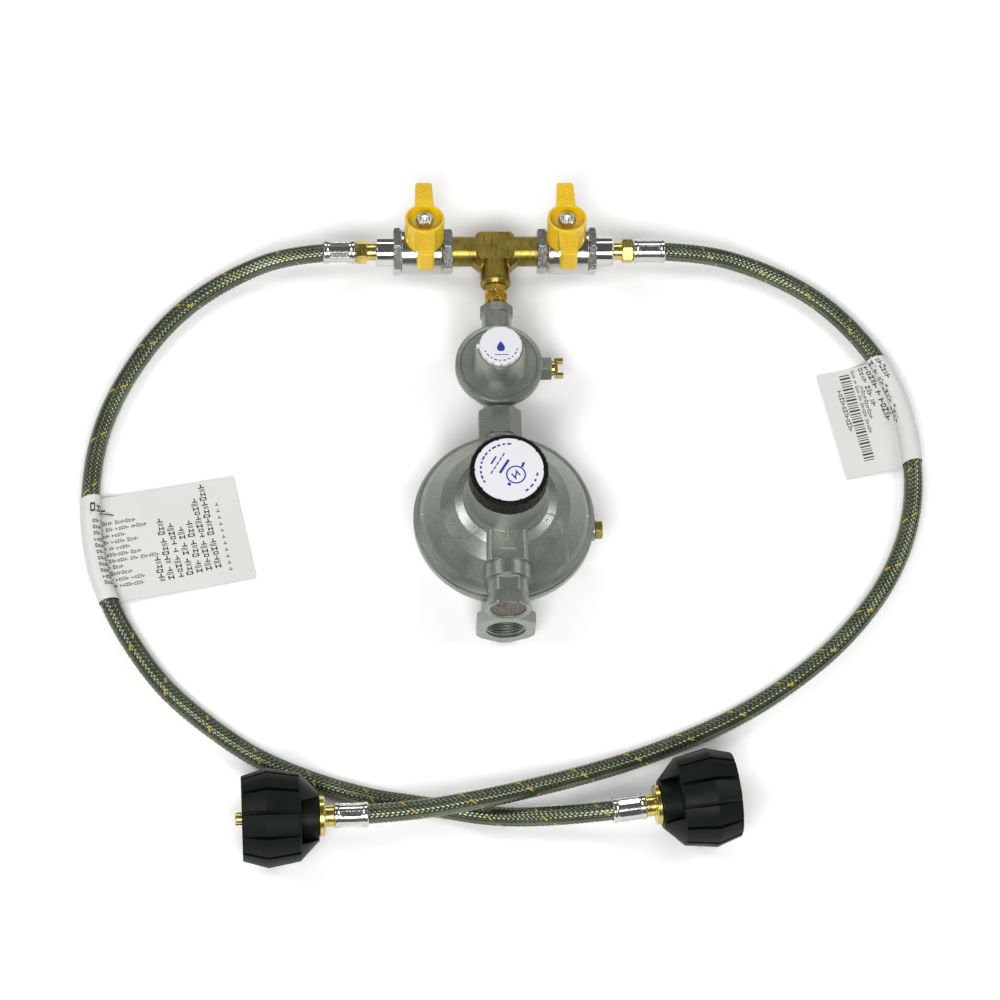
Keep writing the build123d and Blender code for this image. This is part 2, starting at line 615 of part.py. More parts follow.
def second_cap():
    """Black cap pushed into the neck, faintly scalloped, with a recess for its label."""
    cap = turned((0, 89), (20.4, 89), (20.4, CAP_Z), (23.9, CAP_Z), (23.9, CAP_TOP - 1.2),
                 (22.7, CAP_TOP), (21.1, CAP_TOP), (21.1, CAP_TOP - 0.9), (0, CAP_TOP - 0.9))
    scallop = Pos(25.0, 0, 0) * rod(1.5, CAP_Z, CAP_TOP + 1)
    return cap - ring_of(24, scallop)


def second_label():
    disc = rod(20.9, CAP_TOP - 0.9, CAP_TOP - 0.1)
    notch = Pos(21.4, 0, 0) * rod(1.0, 100, 110)
    return disc - ring_of(10, notch)


def second_plate():
    """Plates that clamp the diaphragm, and the hooked post that lifts the lever."""
    plate = rod(POST_R, 10.5, 54) + rod(24.0, 36.3, RIM_Z - RUN_FIT)
    plate += rod(30.0, RIM_Z + DIAPHRAGM + RUN_FIT, 39.5) + rod(6.2, 52.2, 54)
    return plate - block((-1.7, 1.7), (-4, 4), (PIVOT_Z - 1.4, PIVOT_Z + 1.4))


def lever():
    """Bell crank: the long arm in the post's window, the short arm in the seat holder."""
    pivot = Pos(0, PIVOT_Y, PIVOT_Z)
    crank = pivot * along_x(rod(3.0, -LUG_X + 0.15, LUG_X - 0.15))
    crank += block((-1.5, 1.5), (0, PIVOT_Y), (PIVOT_Z - 0.7, PIVOT_Z + 0.7))
    crank += Pos(0, 0, PIVOT_Z) * along_x(rod(1.2, -1.5, 1.5))
    crank += block((-1.5, 1.5), (PIVOT_Y - 0.7, PIVOT_Y + 0.7), (PIVOT_Z, PIVOT_Z + SHORT_ARM))
    crank += Pos(0, PIVOT_Y, PIVOT_Z + SHORT_ARM) * along_x(rod(1.2, -1.5, 1.5))
    return crank - pivot * along_x(rod(1.3, -6, 6))


def seat_holder():
    """Slide between the lugs; its rubber face closes the orifice."""
    half = LUG_X - 0.1
    holder = block((-half, half), (10.6, 19), (17.8, 26)) + port(along_y(rod(5.0, -23, -19)))
    window = block((-1.8, 1.8), (PIVOT_Y - 1.3, PIVOT_Y + 1.3), (17, 24.2))
    relief = block((-1.8, 1.8), (PIVOT_Y - 2.3, PIVOT_Y), (17, 20.6))
    return holder - window - relief


def orifice():
    nozzle = rod(5.0, -44, -28) + turned((0, -28), (4.4, -28), (3.0, -24.8), (0, -24.8))
    return port(along_y(nozzle - rod(2.0, -45, -24)))


def vent_screen():
    """Woven screen across the vent, kept as a coarse grid."""
    screen = rod(VENT_BORE_R - RUN_FIT, 68.6, 69.4)
    hole = rod(1.3, 68, 70)
    places = [(x * 3.6, y * 3.6) for x in range(-2, 3) for y in range(-2, 3) if x * x + y * y < 7]
    screen -= [Pos(x, y, 0) * hole for x, y in places]
    return Pos(0, 0, VENT_Z) * along_y(screen)


def second_test_plug():
    plug = rod(4.0, 50, 56.9) + prism(6, 11.0, 56.9, 61.9, turn=30)
    return port(Pos(0, -1.4, 0) * along_x(plug))


def write_second_stage():
    place = Pos(0, SECOND_Y, 0)
    pin = Pos(0, PIVOT_Y, PIVOT_Z) * along_x(rod(1.25, -8, 8))
    adjuster = rod(20.3, ADJUSTER_Z, 88.5) - prism(6, 12.0, ADJUSTER_Z - 1, 89.5)
    write("second_body", place * second_body())
    write("second_bonnet", place * second_bonnet())
    write("second_cap", place * second_cap())
    write("second_label", place * second_label())
    write("adjusting_disc", place * adjuster)
    write("main_spring", place * spring(11.0, 1.8, 39.5, ADJUSTER_Z, 7))
    write("relief_spring", place * spring(5.0, 0.9, 39.5, 52.2, 6))
    write("second_diaphragm", place * pipe(53.0, POST_R + RUN_FIT, RIM_Z, RIM_Z + DIAPHRAGM))
    write("second_plate", place * second_plate())
    write("lever", place * lever())
    write("lever_pin", place * pin)
    write("seat_holder", place * seat_holder())
    write("orifice", place * orifice())
    write("vent_screen", place * vent_screen())
    write("second_test_plug", place * second_test_plug())


write("tee_body", tee_body())
write("tee_nipple", tee_nipple())
write("interstage_union", interstage_union())
write_valves()
write_hoses()
write_first_stage()
write_second_stage()
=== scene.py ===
import json
from math import cos, pi, radians, sin

import bpy
import numpy as np
from mathutils import Matrix, Vector


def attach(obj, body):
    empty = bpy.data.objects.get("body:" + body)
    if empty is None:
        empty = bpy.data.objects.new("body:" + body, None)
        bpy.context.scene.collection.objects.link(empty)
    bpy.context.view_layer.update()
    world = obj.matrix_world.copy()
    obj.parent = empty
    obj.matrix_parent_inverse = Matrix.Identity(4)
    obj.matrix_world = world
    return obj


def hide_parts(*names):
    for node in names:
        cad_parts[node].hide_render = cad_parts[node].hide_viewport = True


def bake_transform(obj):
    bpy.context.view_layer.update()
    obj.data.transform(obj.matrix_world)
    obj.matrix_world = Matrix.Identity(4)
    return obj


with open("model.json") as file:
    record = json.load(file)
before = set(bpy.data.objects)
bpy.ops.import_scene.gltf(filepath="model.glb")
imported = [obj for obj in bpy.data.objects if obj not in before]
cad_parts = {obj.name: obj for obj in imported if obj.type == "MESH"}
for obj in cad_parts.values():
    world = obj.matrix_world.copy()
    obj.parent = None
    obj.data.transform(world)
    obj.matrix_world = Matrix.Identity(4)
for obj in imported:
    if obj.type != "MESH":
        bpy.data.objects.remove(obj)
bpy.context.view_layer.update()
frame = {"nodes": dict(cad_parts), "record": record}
nodes = frame["nodes"]

MM = 0.001
TEE_Y = 112.9
PORT_Z = 22.0
FIRST_Y = TEE_Y - 87.4
SECOND_Y = TEE_Y - 195.6
OUTLET_Y = TEE_Y - 264.6
SCREEN_Y = SECOND_Y - 69.0
VENT_Z = 55.0
NUT_AXIS_Z = 30.0
HOSE_R = 6.0
HEX_END = 88.9           # outer end of a hose adaptor, from the middle of the set
NECK_END = 55.0          # free end of a connector nipple, from the front of its nut
END_RUN = 38.0           # straight run of hose before a connector
SIDES = {"left": -1, "right": 1}
NUT_FRONT = {"left": (-162.0, TEE_Y - 389.8), "right": (135.0, TEE_Y - 377.0)}
NUT_ANGLE = {"left": 1.5, "right": 187.5}
FAR = {"left": "right", "right": "left"}
ROUTES = {
    "left": [(-129, 0, PORT_Z), (-174, -13, 7.6), (-210, -42, 6.0), (-240, -89, 6.1),
             (-255, -135, 7.2), (-257, -188, 7.1), (-246, -237, 7.2), (-215, -290, 6.0),
             (-182, -321, 6.1), (-147, -346, 6.0), (-92, -367, 6.1), (-48, -374, 6.0),
             (-6, -382, 6.2)],
    "right": [(129, 0, PORT_Z), (174, -6, 7.6), (216, -32, 6.2), (250, -79, 7.1),
              (262, -126, 7.2), (261, -177, 7.0), (244, -223, 6.0), (212, -265, 6.1),
              (175, -296, 6.0), (137, -320, 6.2), (87, -342, 7.4), (43, -358, 13.5),
              (-12, -376, 25.5)],
}


# ---------------------------------------------------------------- camera

def add_camera():
    """Long lens, high in front, turned a little to the left and rolled."""
    right = Vector((0.998607, -0.027559, 0.045001))
    up = Vector((0.005646, 0.903689, 0.428153))
    back = right.cross(up)
    data = bpy.data.cameras.new("camera")
    data.lens = 151.2
    data.sensor_width = 36.0
    data.clip_end = 20
    camera = bpy.data.objects.new("camera", data)
    place = Matrix((right, up, back)).transposed().to_4x4()
    place.translation = Vector((-0.13854, -1.18133, 2.38354))
    camera.matrix_world = place
    bpy.context.scene.collection.objects.link(camera)
    bpy.context.scene.camera = camera


add_camera()


# ---------------------------------------------------------------- materials

class Shader:
    """Small helper that builds one node material."""

    def __init__(self, name):
        self.material = bpy.data.materials.new(name)
        self.material.use_nodes = True
        self.tree = self.material.node_tree
        self.shader = self.tree.nodes["Principled BSDF"]
        self.coords = self.tree.nodes.new("ShaderNodeTexCoord").outputs["Object"]

    def node(self, kind, **settings):
        made = self.tree.nodes.new(kind)
        for key, value in settings.items():
            setattr(made, key, value)
        return made

    def link(self, a, b):
        self.tree.links.new(a, b)

    def noise(self, scale, detail=3.0, stretch=None):
        tex = self.node("ShaderNodeTexNoise")
        tex.inputs["Scale"].default_value = scale
        tex.inputs["Detail"].default_value = detail
        tex.inputs["Roughness"].default_value = 0.55
        source = self.coords
        if stretch:
            mapping = self.node("ShaderNodeMapping")
            mapping.inputs["Scale"].default_value = stretch
            self.link(source, mapping.inputs["Vector"])
            source = mapping.outputs["Vector"]
        self.link(source, tex.inputs["Vector"])
        return tex.outputs["Fac"]

    def ramp(self, value, *stops):
        ramp = self.node("ShaderNodeValToRGB")
        points = ramp.color_ramp.elements
        while len(points) < len(stops):
            points.new(0.5)
        for point, (place, colour) in zip(points, stops):
            point.position = place
            point.color = (*colour, 1.0)
        self.link(value, ramp.inputs["Fac"])
        return ramp.outputs["Color"]

    def multiply(self, a, b):
        """Product of two colours; the mix node's colour sockets are numbers 6, 7 and 2."""
        mix = self.node("ShaderNodeMix", data_type="RGBA", blend_type="MULTIPLY")
        mix.inputs["Factor"].default_value = 1.0
        self.link(a, mix.inputs[6])
        self.link(b, mix.inputs[7])
        return mix.outputs[2]

    def ranged(self, value, low, high, to_low, to_high):
        mapped = self.node("ShaderNodeMapRange")
        for key, number in (("From Min", low), ("From Max", high), ("To Min", to_low),
                            ("To Max", to_high)):
            mapped.inputs[key].default_value = number
        self.link(value, mapped.inputs["Value"])
        return mapped.outputs["Result"]

    def bumps(self, *heights, bevel=0.0):
        """Stack of (height, strength, distance) bumps, over rounded edges."""
        normal = None
        if bevel:
            rounded = self.node("ShaderNodeBevel", samples=4)
            rounded.inputs["Radius"].default_value = bevel
            normal = rounded.outputs["Normal"]
        for height, strength, distance in heights:
            bump = self.node("ShaderNodeBump")
            bump.inputs["Strength"].default_value = strength
            bump.inputs["Distance"].default_value = distance
            self.link(height, bump.inputs["Height"])
            if normal:
                self.link(normal, bump.inputs["Normal"])
            normal = bump.outputs["Normal"]
        self.link(normal, self.shader.inputs["Normal"])

    def finish(self, metallic=0.0, coat=0.0, specular=0.5):
        self.shader.inputs["Metallic"].default_value = metallic
        self.shader.inputs["Coat Weight"].default_value = coat
        self.shader.inputs["Specular IOR Level"].default_value = specular
        return self.material


def tone(colour, factor):
    return tuple(min(1.0, channel * factor) for channel in colour)


def coated(name, colour, metallic, rough, spread, grain, bump, speck=0.0, bevel=0.0003):
    """Satin surface: slow colour drift, fine grain and, for metal paint, bright specks."""
    m = Shader(name)
    drift = m.noise(28.0, 4.0)
    fine = m.noise(grain, 2.0)
    base = m.ramp(drift, (0.3, tone(colour, 1 - spread)), (0.7, tone(colour, 1 + spread)))
    shade = m.ramp(fine, (0.3, (1 - speck,) * 3), (0.5, (1, 1, 1)), (0.75, (1 + speck,) * 3))
    m.link(m.multiply(base, shade), m.shader.inputs["Base Color"])
    m.link(m.ranged(m.noise(90.0, 3.0), 0.3, 0.7, rough * 0.85, rough * 1.15),
           m.shader.inputs["Roughness"])
    m.bumps((fine, bump, 0.0002), (drift, 0.03, 0.001), bevel=bevel)
    return m


def turned_brass(name, colour, rough):
    """Brass with fine tool lines, darker in patches where it has tarnished."""
    m = Shader(name)
    patch = m.noise(120.0, 5.0)
    lines = m.noise(900.0, 2.0, stretch=(1.0, 0.12, 0.12))
    base = m.ramp(patch, (0.25, tone(colour, 0.62)), (0.5, colour), (0.8, tone(colour, 1.25)))
    m.link(base, m.shader.inputs["Base Color"])
    m.link(m.ranged(lines, 0.3, 0.7, rough * 0.7, rough * 1.4), m.shader.inputs["Roughness"])
    m.bumps((lines, 0.05, 0.0002), (patch, 0.05, 0.0004), bevel=0.00025)
    return m


def plated(name, colour, rough, cast):
    """Bright plating; cast shows the dimpled surface under it."""
    m = Shader(name)
    cloud = m.noise(60.0, 4.0)
    dimples = m.noise(700.0, 3.0)
    m.link(m.ramp(cloud, (0.3, tone(colour, 0.86)), (0.7, tone(colour, 1.08))),
           m.shader.inputs["Base Color"])
    m.link(m.ranged(dimples, 0.3, 0.7, rough * 0.7, rough * 1.4), m.shader.inputs["Roughness"])
    m.bumps((dimples, cast, 0.0002), bevel=0.0003)
    return m


MATERIALS = {
    "olive_brass": turned_brass("olive_brass", (0.27, 0.205, 0.045), 0.36).finish(metallic=1.0),
    "bright_brass": turned_brass("bright_brass", (0.58, 0.46, 0.125), 0.22).finish(metallic=1.0),
    "nickel": plated("nickel", (0.50, 0.50, 0.475), 0.15, 0.22).finish(metallic=1.0),
    "chrome": plated("chrome", (0.62, 0.62, 0.61), 0.06, 0.03).finish(metallic=1.0),
    "steel": plated("steel", (0.58, 0.57, 0.54), 0.30, 0.10).finish(metallic=1.0),
    "ferrule_steel": plated("ferrule_steel", (0.56, 0.57, 0.54), 0.16, 0.08).finish(metallic=1.0),
    "spring_steel": plated("spring_steel", (0.50, 0.50, 0.49), 0.32, 0.08).finish(metallic=1.0),
    "lever_steel": plated("lever_steel", (0.60, 0.57, 0.50), 0.34, 0.08).finish(metallic=1.0),
    "yellow_handle": coated("yellow_handle", (0.70, 0.46, 0.003), 0.0, 0.34, 0.10, 500.0,
                            0.10).finish(coat=0.25),
    "black_nut": coated("black_nut", (0.0045, 0.0070, 0.0050), 0.0, 0.46, 0.12, 1100.0,
                        0.22, speck=0.10, bevel=0.0005).finish(specular=0.10),
    "black_cap": coated("black_cap", (0.004, 0.0055, 0.004), 0.0, 0.42, 0.10, 900.0,
                        0.12).finish(specular=0.10),
    "tag_white": coated("tag_white", (0.56, 0.56, 0.54), 0.0, 0.50, 0.02, 300.0, 0.03).finish(),
    "white_cap": coated("white_cap", (0.62, 0.62, 0.64), 0.0, 0.30, 0.015, 400.0,
                        0.04).finish(coat=0.2),
    "ptfe": coated("ptfe", (0.86, 0.86, 0.84), 0.0, 0.40, 0.02, 400.0, 0.04).finish(),
    "seal_rubber": coated("seal_rubber", (0.03, 0.03, 0.03), 0.0, 0.60, 0.10, 800.0,
                          0.10).finish(),
    "holder_plastic": coated("holder_plastic", (0.72, 0.69, 0.60), 0.0, 0.42, 0.03, 600.0,
                             0.06).finish(),
    "zinc": coated("zinc", (0.27, 0.295, 0.26), 0.0, 0.34, 0.06, 1500.0, 0.30,
                   speck=0.28, bevel=0.0005).finish(metallic=0.78, coat=0.06),
    "inner_zinc": coated("inner_zinc", (0.48, 0.49, 0.47), 0.0, 0.38, 0.05, 900.0, 0.15,
                         speck=0.10).finish(metallic=0.9),
    "braid": coated("braid", (0.42, 0.44, 0.41), 0.0, 0.30, 0.05, 900.0, 0.1).finish(metallic=0.9),
}


def paint_cad():
    """Every CAD node takes its record slot's finish, with smooth faces and crisp edges."""
    for part in frame["record"]["subparts"]:
        node = nodes[part["node"]]
        node.data.materials.clear()
        node.data.materials.append(MATERIALS[part["material_slot"]])
        node.data.shade_smooth()
        node.data.set_sharp_from_angle(angle=radians(32))


paint_cad()


# ---------------------------------------------------------------- hoses

def connector_point(side, distance):
    x, y = NUT_FRONT[side]
    angle = radians(NUT_ANGLE[side])
    return (x + distance * cos(angle), y + distance * sin(angle), NUT_AXIS_Z)


def control_points(side):
    points = [(SIDES[side] * HEX_END, TEE_Y, PORT_Z)]
    points += [(x, TEE_Y + y, z) for x, y, z in ROUTES[side]]
    points += [connector_point(FAR[side], NECK_END + run) for run in (END_RUN, 0)]
    return [Vector(point) * MM for point in points]


def spline_points(side):
    """The hose's centreline: points read from one NURBS curve."""
    data = bpy.data.curves.new(f"{side}_route", "CURVE")
    data.dimensions = "3D"
    spline = data.splines.new("NURBS")
    points = control_points(side)
    spline.points.add(len(points) - 1)
    for target, point in zip(spline.points, points):
        target.co = (*point, 1.0)
    spline.order_u = 3
    spline.use_endpoint_u = True
    spline.resolution_u = 40
    holder = bpy.data.objects.new(f"{side}_route", data)
    mesh = bpy.data.meshes.new_from_object(holder)
    line = np.array([vertex.co[:] for vertex in mesh.vertices])
    bpy.data.objects.remove(holder)
    bpy.data.curves.remove(data)
    bpy.data.meshes.remove(mesh)
    return line


def resample(line, count):
    """Evenly spaced points along a polyline, with its length."""
    travelled = np.concatenate([[0], np.cumsum(np.linalg.norm(np.diff(line, axis=0), axis=1))])
    wanted = np.linspace(0, travelled[-1], count)
    even = np.stack([np.interp(wanted, travelled, line[:, axis]) for axis in range(3)], axis=1)
    return even, travelled[-1]


def side_frames(line):
    """Tangent, side and up vectors at each point; side stays level."""
    tangent = np.gradient(line, axis=0)
    tangent /= np.linalg.norm(tangent, axis=1)[:, None]
    side = np.cross(np.array([0, 0, 1.0]), tangent)
    side /= np.linalg.norm(side, axis=1)[:, None]
    return tangent, side, np.cross(tangent, side)


def new_mesh(name, verts, faces, materials, slots=None, smooth=True):
    """Linked object from vertices in metres; slots gives each face's material index."""
    mesh = bpy.data.meshes.new(name)
    mesh.from_pydata([tuple(v) for v in verts], [], faces)
    for material in materials:
        mesh.materials.append(material)
    if slots is not None:
        mesh.polygons.foreach_set("material_index", np.asarray(slots, dtype=np.int32))
    mesh.polygons.foreach_set("use_smooth", np.full(len(mesh.polygons), smooth))
    mesh.update()
    made = bpy.data.objects.new(name, mesh)
    bpy.context.scene.collection.objects.link(made)
    return made


def strip_faces(rows, columns, first=0, closed=False):
    """Quads of a grid of rows x columns vertices."""
    last = columns if closed else columns - 1
    row, column = np.meshgrid(np.arange(rows - 1), np.arange(last), indexing="ij")
    following = (column + 1) % columns
    a = first + row * columns + column
    b = first + row * columns + following
    return np.stack([a, b, b + columns, a + columns], axis=-1).reshape(-1, 4)


CARRIERS = 12            # strands each way
LEAD = 0.0362            # one turn of a strand
STRAND_WIDTH = 2.15
STRAND_RISE = 0.30       # how far a strand weaves above and below its middle radius
STRAND_R = HOSE_R - 0.44
STRAND_EDGE = 0.22       # drop of a strand's edges
STRAND_CROWN = 0.14      # rise of its middle
CORE_R = HOSE_R - 0.80
HOSE_POINTS = 1150


def strand_material():
    m = Shader("braid_steel")
    wires = m.noise(2600.0, 2.0)
    cloud = m.noise(45.0, 3.0)
    base = m.ramp(cloud, (0.3, (0.10, 0.118, 0.075)), (0.7, (0.17, 0.19, 0.13)))
    shade = m.ramp(wires, (0.3, (0.62, 0.62, 0.62)), (0.6, (1, 1, 1)))
    m.link(m.multiply(base, shade), m.shader.inputs["Base Color"])
    m.link(m.ranged(wires, 0.3, 0.7, 0.20, 0.34), m.shader.inputs["Roughness"])
    m.bumps((wires, 0.30, 0.0001))
    return m.finish(metallic=0.9)


def tracer_material():
    m = Shader("braid_tracer")
    fibres = m.noise(2200.0, 2.0)
    m.link(m.ramp(fibres, (0.3, (0.24, 0.17, 0.005)), (0.7, (0.46, 0.34, 0.015))),
           m.shader.inputs["Base Color"])
    m.shader.inputs["Roughness"].default_value = 0.6
    m.bumps((fibres, 0.4, 0.0001))
    return m.finish()


def core_material():
    m = Shader("braid_core")
    cloud = m.noise(400.0, 3.0)
    m.link(m.ramp(cloud, (0.3, (0.008, 0.012, 0.008)), (0.7, (0.020, 0.026, 0.018))),
           m.shader.inputs["Base Color"])
    m.shader.inputs["Roughness"].default_value = 0.55
    m.bumps((cloud, 0.3, 0.0002))
    return m.finish()


BRAID_MATERIALS = [core_material(), strand_material(), tracer_material()]


def braided_hose(side):
    """Dark core with two sets of flat strands woven two over, two under; one strand is yellow."""
    line, length = resample(spline_points(side), HOSE_POINTS)
    tangent, level, up = side_frames(line)
    verts, faces, slots = [], [], []
    around = 20
    core = line[::5]
    angles = np.linspace(0, 2 * pi, around, endpoint=False)
    ring = (np.cos(angles)[None, :, None] * level[::5][:, None, :]
            + np.sin(angles)[None, :, None] * up[::5][:, None, :])
    verts.append((core[:, None, :] + ring * CORE_R * MM).reshape(-1, 3))
    faces.append(strip_faces(len(core), around, closed=True))
    slots.append(np.zeros(len(faces[-1]), int))
    total = len(verts[-1])
    travel = np.linspace(0, length, len(line))
    step = 2 * CARRIERS * travel / LEAD
    for direction in (1, -1):
        for strand in range(CARRIERS):
            turn = direction * 2 * pi * travel / LEAD + 2 * pi * strand / CARRIERS
            weave = np.cos(pi / 2 * (2 * strand + direction * step) - pi / 4)
            radius = (STRAND_R + direction * STRAND_RISE * weave) * MM
            outward = np.cos(turn)[:, None] * level + np.sin(turn)[:, None] * up
            circum = -np.sin(turn)[:, None] * level + np.cos(turn)[:, None] * up
            rate = direction * 2 * pi * HOSE_R * MM / LEAD
            run = tangent + rate * circum
            run /= np.linalg.norm(run, axis=1)[:, None]
            across = np.cross(run, outward)
            centre = line + outward * radius[:, None]
            reach, drop = across * STRAND_WIDTH / 2 * MM, outward * STRAND_EDGE * MM
            rows = [centre - reach - drop, centre + outward * STRAND_CROWN * MM,
                    centre + reach - drop]
            verts.append(np.stack(rows, axis=1).reshape(-1, 3))
            faces.append(strip_faces(len(line), 3, first=total))
            kinds = np.ones(len(faces[-1]), int)
            if direction == 1 and strand == 0:
                kinds[::2] = 2
            slots.append(kinds)
            total += len(line) * 3
    made = new_mesh(f"{side}_braid", np.concatenate(verts), np.concatenate(faces).tolist(),
                    BRAID_MATERIALS, np.concatenate(slots))
    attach(made, "manifold")
    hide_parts(f"{side}_hose")
    print(side, "hose length", round(length, 4))
    return line, length


HOSES = {side: braided_hose(side) for side in SIDES}


# ---------------------------------------------------------------- tags

TAG_CENTRE_Y = {"left": -203.0, "right": -107.5}
TAG_ANGLE = {"left": 11.5, "right": 191.5}
TAG_BAND = {"left": 71.5, "right": 75.5}
TAG_FLAP = {"left": 89.0, "right": 39.5}
TAG_WAVE = {"left": 0.9, "right": 1.6}
TAG_SAG = 3.3
LOOP_R = HOSE_R + 0.45
LOOP_GAP = 0.6           # the loop of film stops short of a full turn
ATTACH = -0.38           # the flap leaves the loop at this angle below level


class Tag:
    """A strip of film wrapped once round the hose, its ends laid together as a flap."""

    def __init__(self, side):
        line, _ = HOSES[side]
        angle = radians(TAG_ANGLE[side])
        self.flap = TAG_FLAP[side]
        self.band = TAG_BAND[side]
        self.along = Vector((sin(angle), -cos(angle), 0))
        self.way = Vector((cos(angle), sin(angle), 0))
        centre_y = (TEE_Y + TAG_CENTRE_Y[side]) * MM
        near = [Vector(p) for p in line if abs(p[1] - centre_y) < 0.70 * self.band * MM]
        self.middle = min(near, key=lambda p: abs(p.y - centre_y))
        stations = [(p - self.middle).dot(self.along) for p in near]
        order = np.argsort(stations)
        self.stations = np.array(stations)[order]
        self.line = np.array([near[i][:] for i in order])
        self.wave = TAG_WAVE[side]

    def spot(self, u, v, layer=0.0, lift=0.0):
        """Point u mm from the loop along the flap, or round the loop if negative, v mm along."""
        root = Vector([np.interp(v * MM, self.stations, self.line[:, k]) for k in range(3)])
        if u < 0:
            turn = ATTACH - u / LOOP_R
            radius = LOOP_R + layer + lift
            across, height = radius * cos(turn), radius * sin(turn)
        else:
            t = u / self.flap
            straight = self.middle + self.along * v * MM
            straight.z = root.z
            root = root.lerp(straight, min(1.0, 2.5 * t))
            across = LOOP_R * cos(ATTACH) + u
            sag = TAG_SAG * t + self.wave * sin(pi * t) * (0.6 + 0.4 * sin(3 * v / self.band))
            height = LOOP_R * sin(ATTACH) - sag + layer + lift
        point = root + self.way * across * MM
        point.z = max(root.z + height * MM, (0.30 + layer + lift) * MM)
        return point


def add_tag(side):
    tag = Tag(side)
    rows, steps, around = 25, 18, 36
    loop = 2 * pi * LOOP_R - LOOP_GAP
    outline = [(tag.flap * (1 - i / steps), -0.3) for i in range(steps)]
    outline += [(-0.001 - loop * (1 - i / around), 0.0) for i in range(around + 1)]
    outline += [(tag.flap * (i + 1) / steps, 0.05) for i in range(steps)]
    verts = [tag.spot(u, (row / (rows - 1) - 0.5) * tag.band, layer)
             for row in range(rows) for u, layer in outline]
    faces = strip_faces(rows, len(outline)).tolist()
    made = new_mesh(f"{side}_flag", verts, faces, [MATERIALS["tag_white"]])
    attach(made, "manifold")
    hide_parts(f"{side}_tag")
    print(side, "tag flat", round(loop + 2 * tag.flap, 1), tag.band)
    return tag


TAG_SHEETS = {side: add_tag(side) for side in SIDES}


# ---------------------------------------------------------------- printed marks and small parts

def plain(name, colour, rough, variation=0.06):
    """Printing ink or a small fitting: soft colour drift over a fine grain."""
    m = Shader(name)
    cloud = m.noise(500.0, 3.0)
    m.link(m.ramp(cloud, (0.3, tone(colour, 1 - variation)), (0.7, tone(colour, 1 + variation))),
           m.shader.inputs["Base Color"])
    m.shader.inputs["Roughness"].default_value = rough
    m.bumps((cloud, 0.05, 0.0001))
    return m.finish()


BLUE_INK = plain("blue_ink", (0.018, 0.022, 0.26), 0.4)
GREY_INK = plain("grey_ink", (0.035, 0.037, 0.035), 0.5)


def plates(name, outlines, material, place, thickness=0.05 * MM):
    """Thin raised plates from flat outlines in millimetres, placed by a matrix."""
    verts, faces = [], []
    for outline in outlines:
        first, count = len(verts), len(outline)
        for height in (0.0, thickness):
            verts += [place @ Vector((x * MM, y * MM, height)) for x, y in outline]
        top = [first + count + i for i in range(count)]
        faces.append(top)
        faces.append([first + i for i in reversed(range(count))])
        for i in range(count):
            j = (i + 1) % count
            faces.append([first + i, first + j, first + count + j, first + count + i])
    made = new_mesh(name, verts, faces, [material], smooth=False)
    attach(made, "manifold")


def dash(x, y, angle, length, width):
    """Small bar that stands for a word of print."""
    c, s = cos(angle), sin(angle)
    corners = [(-length / 2, -width / 2), (length / 2, -width / 2), (length / 2, width / 2),
               (-length / 2, width / 2)]
    return [(x + u * c - v * s, y + u * s + v * c) for u, v in corners]


def ring_of_quads(x, y, radius, width, steps=48):
    """Thin ring as a list of short quads."""
    quads = []
    for i in range(steps):
        a = radians(360.0 * i / steps)
        b = radians(360.0 * (i + 1) / steps)
        low, high = radius - width / 2, radius + width / 2
        quads.append([(x + low * cos(a), y + low * sin(a)), (x + high * cos(a), y + high * sin(a)),
                      (x + high * cos(b), y + high * sin(b)), (x + low * cos(b), y + low * sin(b))])
    return quads


def dashes_on_arc(radius, start, end, lengths, width):
    """Bars of the given lengths spaced along an arc."""
    bars = []
    gap = (end - start) / len(lengths)
    for i, length in enumerate(lengths):
        a = radians(start + gap * (i + 0.5))
        bars.append(dash(radius * cos(a), radius * sin(a), a + pi / 2, length, width))
    return bars


def add_labels():
    """Generic blue print: a drop on the small cap, a ring and word bars on the large one."""
    small = Matrix.Translation(Vector((0, FIRST_Y, 60.0)) * MM)
    drop = [(3.4 * sin(t) * (sin(t / 2) ** 1.2), 3.6 * cos(t) - 0.6)
            for t in np.linspace(0, 2 * pi, 40, endpoint=False)]
    marks = [drop] + dashes_on_arc(10.6, 196, 352, (1.2, 1.9, 1.4, 2.1, 1.2, 1.8, 1.5, 1.1, 1.9,
                                                    1.4), 0.75)
    marks += [dash(0.4, -6.6, 0, 8.6, 0.55)]
    plates("small_cap_print", marks, BLUE_INK, small)
    large = Matrix.Translation(Vector((0, SECOND_Y, 105.9)) * MM)
    large = large @ Matrix.Rotation(radians(-122), 4, "Z")
    marks = ring_of_quads(0.8, 5.2, 5.6, 0.9)
    marks += [dash(0.8 + u, 5.2 + v, radians(t), l, 0.9)
              for u, v, t, l in ((-1.7, 0.4, 70, 4.6), (1.7, -0.4, 70, 4.6), (0, 0, 20, 3.6))]
    marks += [dash(-0.2, -3.6, 0, 10.5, 1.6), dash(8.4, 5.0, radians(8), 1.9, 1.9),
              dash(-7.2, 5.4, radians(8), 3.4, 1.5)]
    marks += [dash(x, -8.0, 0, 2.6, 0.8) for x in (-6.6, -3.2, 0.2, 3.6, 7.0)]
    marks += [dash(-0.4, -11.2, 0, 6.0, 1.1)]
    marks += dashes_on_arc(17.2, 205, 335, (2.4, 1.6, 2.0, 2.8, 1.4, 2.2, 2.6, 1.6, 2.0, 1.8, 2.4,
                                            1.5), 1.15)
    marks += dashes_on_arc(17.2, 62, 118, (2.2, 2.6, 1.6, 2.2), 1.15)
    plates("large_cap_print", marks, BLUE_INK, large)


